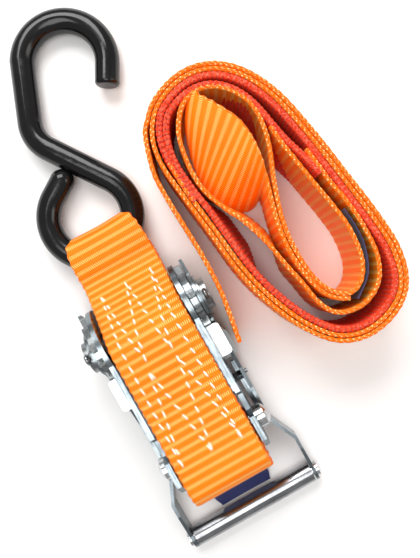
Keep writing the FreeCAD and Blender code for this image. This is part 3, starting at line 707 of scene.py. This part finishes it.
# the lines below are (x, y) in the millimetres of at(), as seen from above
COIL = [(51, 80), (54, 96), (65, 109), (85, 116), (104, 113), (119, 101), (130, 81), (137, 52), (142, 20),
        (146, -9), (147, -30), (141.5, -50), (128, -62), (108, -66.5), (90, -60.5), (76, -44),
        (66, -22), (60, 0), (56.5, 28), (53, 57)]
TAIL = [(42.2, -33), (45, -17), (47.2, 0), (47.7, 20), (47, 38), (46.2, 58), (46.8, 74)]
INNER_LINE = [
    (127.6, 43), (129.3, 30), (130.5, 20), (133.2, 6), (134.5, -12), (133, -29), (126, -42), (113, -48.5),
    (99, -46), (92, -36), (89, -21), (86.2, -9), (83.4, 5), (80.6, 15), (76.2, 27), (71.0, 36.5),
    (67.0, 48), (65.6, 60), (66.4, 72), (69.8, 86), (78.2, 97.6), (89, 101.8), (99, 99.2), (107, 92.4),
    (112.6, 82), (113.6, 70), (110.6, 55), (103.2, 36), (97.2, 17), (94.8, 0), (95.8, -20), (101, -33),
    (109.5, -39.3), (118.5, -36), (125, -25), (127, -8), (125.2, 8), (122.3, 24), (119.6, 39.5),
    (117.4, 53), (116.6, 64),
]
UP = Vector((0, 0, 1))
COIL_HALF = 24.7 * MM            # half the width of a strap that stands on its rim
COIL_MIDDLE = 25.0               # height of its middle, in millimetres
OUTLINE_STEP = 0.5               # millimetres between the points of the coil's outline
TURN_STEP = 0.02                 # turns between the points of a spiral
SIDE_LEAN = 0.19                 # how far the coil's left side leans outward, as a slope
LEAN_KNOTS = [(-16, 0.0), (16, 1.0), (32, 1.0), (58, 0.0)]    # share of that lean along y


def flat(pairs):
    """Vectors on the ground from (x, y) pairs."""
    return [Vector((x, y, 0)) for x, y in pairs]


class Coil:
    """The coil's outline, walked clockwise from above. A whole number of turns comes back to the same place."""

    def __init__(self):
        """A smooth line through more than one turn, cut where it passes the outline's first corner."""
        whole = catmull(flat([COIL[-1]] + COIL + COIL[:3]), OUTLINE_STEP)
        first = Vector((*COIL[0], 0))
        half = len(whole) / 2
        away = [(p - first).length for p in whole]
        start = min((i for i in range(len(whole)) if i < half), key=lambda i: away[i])
        finish = min((i for i in range(len(whole)) if i > half), key=lambda i: away[i])
        self.line = evenly(whole[start:finish + 1], OUTLINE_STEP)

    def point(self, turns, outward):
        """A place that far round the outline, in turns, and that far outward from it, in millimetres."""
        count = len(self.line) - 1
        index = (turns % 1.0) * count
        i = int(index) % count
        a, b = self.line[i], self.line[i + 1]
        along = (self.line[(i + 2) % count] - self.line[(i - 1) % count]).normalized()
        here = a.lerp(b, index - int(index))
        return here + Vector((-along.y, along.x, 0)) * outward

    def spiral(self, start, end, offsets):
        """Points from one turn count to another, outward by the eased (turns, millimetres) offsets."""
        count = int((end - start) / TURN_STEP)
        turns = [start + (end - start) * i / count for i in range(count + 1)]
        return [self.point(turn, between_knots(offsets, turn)) for turn in turns]


def standing(points):
    """Evenly spaced points of a strap that stands on its rim, rising and falling a little."""
    line = catmull([at(p.x, p.y, COIL_MIDDLE) for p in points], COIL_STEP)
    for i, p in enumerate(line):
        p.z += 0.35 * MM * noise.noise(Vector((i * 0.02, 3.1, len(line) * 0.01)))
    return line


def make_outer_turns(coil):
    """The strap's cut end, drawn in beside the coil, and the two turns it makes before it enters the sleeve."""
    offsets = [(0.0, 2.0), (0.06, -1.4), (0.97, -1.4), (1.06, -4.4), (1.94, -4.4), (1.99, -5.6)]
    line = standing(flat(TAIL) + coil.spiral(0.03, 1.985, offsets))
    web = Webbing(columns=14)
    length = web.add(line, [UP] * len(line), [COIL_HALF] * len(line))
    piece = web.piece("long_strap_outer")
    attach(piece, "long_strap")
    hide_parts("long_strap_turns", "long_strap_tail")
    return piece


def make_sleeve(coil):
    """Tubular wear sleeve over the strap: nearly a turn and a half, inside the outer turns."""
    offsets = [(1.93, -4.9), (1.97, -5.6), (2.04, -7.9), (2.96, -7.9), (3.04, -11.8), (3.2, -13.2),
               (3.3, -16.0), (3.37, -13.0)]
    line = standing(coil.spiral(1.93, 3.372, offsets))
    mouth = profile(line, [(0.0, 0.0), (0.84, 0.0), (0.92, 0.11), (1.0, 0.11)])
    across = []
    for p, along, right_tip in zip(line, tangents(line), mouth):
        on_left = (p - at(0, 0, 0)).x / MM < 80
        tip = SIDE_LEAN * lean_share(p) if on_left else right_tip
        outward = Vector((-1, 0, 0)) if on_left else Vector((-along.y, along.x, 0))
        across.append((UP + outward * tip).normalized())
        p -= outward * tip * COIL_HALF
    web = Webbing(thick=SLEEVE_THICK, columns=14, rib=SLEEVE_RIB, pitch=SLEEVE_PITCH, rim_wave=0.3 * MM)
    flare = profile(line, [(0.0, 24.9 * MM), (0.01, 24.6 * MM), (0.985, 24.6 * MM), (1.0, 25.0 * MM)])
    length = web.add(line, across, flare)
    piece = web.piece("long_strap_sleeve")
    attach(piece, "long_strap")
    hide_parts("wear_sleeve")
    return piece


def lean_share(p):
    """How much the coil's left side leans outward here: all of it between two places, none beyond them."""
    return between_knots(LEAN_KNOTS, (p - at(0, 0, 0)).y / MM)


def make_inner_turn():
    """Out of the sleeve, once round inside it, back at the far end and round the long open eye."""
    line = standing(flat(INNER_LINE))
    across = []
    for i, p in enumerate(line):
        on_left = (p - at(0, 0, 0)).x / MM < 90 and i < len(line) * 0.6
        tip = SIDE_LEAN * lean_share(p) if on_left else 0.0
        p.x += tip * COIL_HALF
        across.append(Vector((-tip, 0, 1)).normalized())
    web = Webbing(columns=14)
    length = web.add(line, across, [COIL_HALF] * len(line))
    piece = web.piece("long_strap_inner")
    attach(piece, "long_strap")
    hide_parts("long_strap_inner_turn", "long_strap_eye")
    return piece


# the leaning end's upper rim and lower rim, pair by pair
LEAN_RAILS = [
    ((91.0, 102.5, 43), (76, 79, 27)),
    ((88.8, 104.5, 48), (73, 79, 33)),
    ((90.6, 99, 50.2), (70, 71, 32)),
    ((94.4, 92, 50.4), (68.8, 64, 30)),
    ((98.8, 85, 50.3), (68.6, 58.5, 28)),
    ((102.5, 78, 50), (69, 53, 26)),
    ((104.3, 70, 49.8), (70.8, 46, 23)),
    ((104.8, 62, 49.7), (75, 38.5, 19)),
    ((104.2, 54, 49.7), (81, 33, 13)),
    ((102.8, 46.5, 49.7), (88.5, 31.5, 6.5)),
    ((100.9, 40.5, 49.7), (95.5, 33.5, 1)),
    ((98.6, 34, 49.7), (97.6, 32.5, 0.4)),
    ((93.9, 16, 49.7), (93.9, 16, 0.4)),
    ((91.7, 0, 49.7), (91.7, 0, 0.4)),
    ((92.4, -15, 49.7), (92.4, -15, 0.4)),
    ((95.6, -29, 49.7), (95.6, -29, 0.4)),
    ((101.2, -37.6, 49.7), (101.2, -37.6, 0.4)),
    ((108, -42, 49.7), (108, -42, 0.4)),
]


def make_leaning_end():
    """The strap's sewn end: it lies over on top of the coil, then turns down beside the eye it is sewn to."""
    count = max(len(catmull([at(*pair[rim]) for pair in LEAN_RAILS], COIL_STEP)) for rim in (0, 1))
    upper, lower = (spread(LEAN_RAILS, rim, count) for rim in (0, 1))
    line = [(a + b) / 2 for a, b in zip(upper, lower)]
    across = [(a - b).normalized() for a, b in zip(upper, lower)]
    halves = []
    for i, (a, b) in enumerate(zip(upper, lower)):
        share = i / (count - 1)
        ragged = max(0.0, 1 - share / 0.36)
        rib_wave = math.sin(i * 0.45 * 2 * math.pi / 5.1)    # points 0.45 mm apart, ribs 5.1 mm apart
        wobble = noise.noise(Vector((i * 0.12, 0.4, 0.0))) + 0.5 * rib_wave
        halves.append((a - b).length / 2 + ragged * 0.9 * MM * wobble)
    puff = profile(line, [(0.0, 2.0 * MM), (0.16, 4.0 * MM), (0.30, 3.0 * MM), (0.40, 0.0), (1.0, 0.0)])
    web = Webbing(columns=18)
    length = web.add(line, across, halves, puff=puff, skewed=True)
    piece = web.piece("long_strap_leaning_end")
    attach(piece, "long_strap")
    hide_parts("long_strap_fold")
    return piece


def spread(rails, rim, count):
    """One rim of the rails as a fixed number of points, each kept level with its partner on the other rim."""
    corners = padded([at(*pair[rim]) for pair in rails])
    middles = [(at(*a) + at(*b)) / 2 for a, b in rails]
    reach = [0.0]
    for a, b in zip(middles, middles[1:]):
        reach.append(reach[-1] + (b - a).length)
    result = []
    for i in range(count):
        target = reach[-1] * i / (count - 1)
        k = 0
        while k < len(reach) - 2 and reach[k + 1] < target:
            k += 1
        t = (target - reach[k]) / (reach[k + 1] - reach[k])
        result.append(between_points(*corners[k:k + 4], t))
    return result


def make_long_label():
    """Blank label standing between the eye and the turn round it."""
    marks = [(129.8, 3.5), (130.7, -8), (129.8, -20), (123.8, -34.5), (112, -44.5)]
    line = catmull([at(x, y, 25) for x, y in marks], 0.8 * MM)
    web = Webbing(thick=0.7 * MM, columns=10, rib=0.0, rim_wave=0.05 * MM)
    length = web.add(line, [UP] * len(line), [23.8 * MM] * len(line))
    piece = web.piece("long_strap_label_tab")
    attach(piece, "long_strap")
    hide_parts("long_strap_label")
    return piece


# ---------------------------------------------------------------- springs

SPRING_R = 3.6 * MM
SPRING_WIRE_R = 0.6 * MM
SPRING_COILS = 6
SPRING_STEPS = 28                # points along one coil
SPRING_SIDES = 10                # points round the wire
SPRING_ENDS = 0.045              # how much closer the coils lie towards both ends
LOCK_SPRING_Z = 34.5
LOCK_SPRING_Y = (-37.9, -52.6)   # on the pawl and on the base's tab, in the millimetres of at()
HANDLE_SLOPE = math.radians(200)
RELEASE_SPRING = (39.9, 56.1)    # on the pawl and on the bridge, in millimetres from the mandrel's middle


def make_spring(name, body, node, joint, start, end):
    """A coil spring between a pawl (start) and its rest (end)."""
    axis = (end - start).normalized()
    side = axis.cross(Vector((1, 0, 0))).normalized()
    third = axis.cross(side)
    steps = SPRING_COILS * SPRING_STEPS
    middle = []
    for i in range(steps + 1):
        share = i / steps
        closed = share + SPRING_ENDS * math.sin(4 * math.pi * share) / 2
        a = 2 * math.pi * SPRING_COILS * share
        middle.append(start + (end - start) * closed + (side * math.cos(a) + third * math.sin(a)) * SPRING_R)
    points = []
    for p, along in zip(middle, tangents(middle)):
        out = ((p - start) - axis * (p - start).dot(axis)).normalized()
        up = along.cross(out).normalized()
        for k in range(SPRING_SIDES):
            a = 2 * math.pi * k / SPRING_SIDES
            points.append(p + (out * math.cos(a) + up * math.sin(a)) * SPRING_WIRE_R)
    piece = mesh_object(name, points, tube_faces(steps + 1, SPRING_SIDES))
    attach(piece, body)
    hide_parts(node)
    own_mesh(piece)
    return piece


def make_springs():
    """The lock pawl's spring against the base's tab, and the release pawl's against the handle's bridge."""
    lock = make_spring("lock_coil", "frame", "lock_spring", "lock_pawl_slide",
                       *(at(0, y, LOCK_SPRING_Z) for y in LOCK_SPRING_Y))
    slope = Vector((0, math.cos(HANDLE_SLOPE), math.sin(HANDLE_SLOPE)))
    release = make_spring("release_coil", "handle", "release_spring", "release_pawl_slide",
                          *(MANDREL + slope * (reach * MM) for reach in RELEASE_SPRING))
    return [lock, release]


# ---------------------------------------------------------------- CAD nodes

def finish_cad_nodes(materials):
    """Each CAD node takes the material of its slot."""
    slots = {part["node"]: part["material_slot"] for part in frame["record"]["subparts"]}
    for name, node in frame["nodes"].items():
        node.data.materials.clear()
        node.data.materials.append(materials[slots[name]])


# ---------------------------------------------------------------- surroundings

def add_area(name, place, target, width, height, power, colour=(1, 1, 1)):
    """A soft rectangular lamp that faces the target."""
    light = bpy.data.lights.new(name, "AREA")
    light.shape = "RECTANGLE"
    light.size, light.size_y = width, height
    light.energy = power
    light.color = colour
    lamp = bpy.data.objects.new(name, light)
    bpy.context.scene.collection.objects.link(lamp)
    lamp.location = place
    lamp.rotation_euler = (target - place).to_track_quat("-Z", "Y").to_euler()


def make_surroundings():
    """White paper under the object, soft light from above, and the camera straight over it."""
    centre = at(45, 6, 0)
    corners = [centre + Vector((x * PAPER_HALF, y * PAPER_HALF, -PAPER_GAP))
               for x, y in ((-1, -1), (1, -1), (1, 1), (-1, 1))]
    floor = mesh_object("paper", corners, [(0, 1, 2, 3)], smooth=False)
    paper = Shade("paper", Roughness=0.9, Specular_IOR_Level=0.1)
    paper.set("Base Color", paper.mix(paper.noise(30.0), (0.93, 0.92, 0.915, 1), (0.95, 0.945, 0.94, 1)))
    floor.data.materials.append(paper.material)

    world = bpy.data.worlds.new("studio")
    bpy.context.scene.world = world
    world.use_nodes = True
    world.node_tree.nodes["Background"].inputs["Color"].default_value = (1.0, 0.99, 0.98, 1)
    world.node_tree.nodes["Background"].inputs["Strength"].default_value = 0.42

    add_area("key", centre + Vector((0.15, 0.85, 0.85)), centre, width=0.9, height=0.6, power=12.5)
    add_area("top", centre + Vector((-0.25, -0.1, 1.2)), centre, width=0.8, height=0.6, power=6.0)
    add_area("right", centre + Vector((0.9, -0.3, 0.7)), centre, width=0.5, height=0.7, power=2.6,
             colour=(1.0, 0.97, 0.93))

    lens = bpy.data.cameras.new("camera")
    lens.sensor_fit = "HORIZONTAL"
    lens.sensor_width = SENSOR_MM
    lens.lens = SENSOR_MM * FOCAL_PX / PHOTO_WIDTH_PX
    lens.clip_start = 0.01
    camera = bpy.data.objects.new("camera", lens)
    bpy.context.scene.collection.objects.link(camera)
    camera.location = centre + Vector((0, 0, CAMERA_HEIGHT))
    camera.rotation_euler = (0, 0, math.radians(CAMERA_TURN))
    bpy.context.scene.camera = camera
    bpy.context.scene.view_settings.view_transform = "Standard"


# ---------------------------------------------------------------- build

def main():
    """Builds the meshes, gives every piece its slot and sets the stage."""
    materials = make_materials()
    finish_cad_nodes(materials)
    lines = fold_lines()
    run = run_line()
    pieces = {
        "orange_webbing": [make_bolt_loop(), make_fold(lines), make_run(run, line_length(lines[0]))],
        "white_thread": [make_stitches(lines[0][:-1] + run)],
        "blue_label": [make_strap_label(), make_long_label()],
        "spring_steel": make_springs(),
    }
    coil = Coil()
    pieces["orange_webbing"] += [make_outer_turns(coil), make_inner_turn(), make_leaning_end()]
    pieces["red_sleeve"] = [make_sleeve(coil)]
    for slot, members in pieces.items():
        for piece in members:
            piece.data.materials.append(materials[slot])
    make_surroundings()


main()
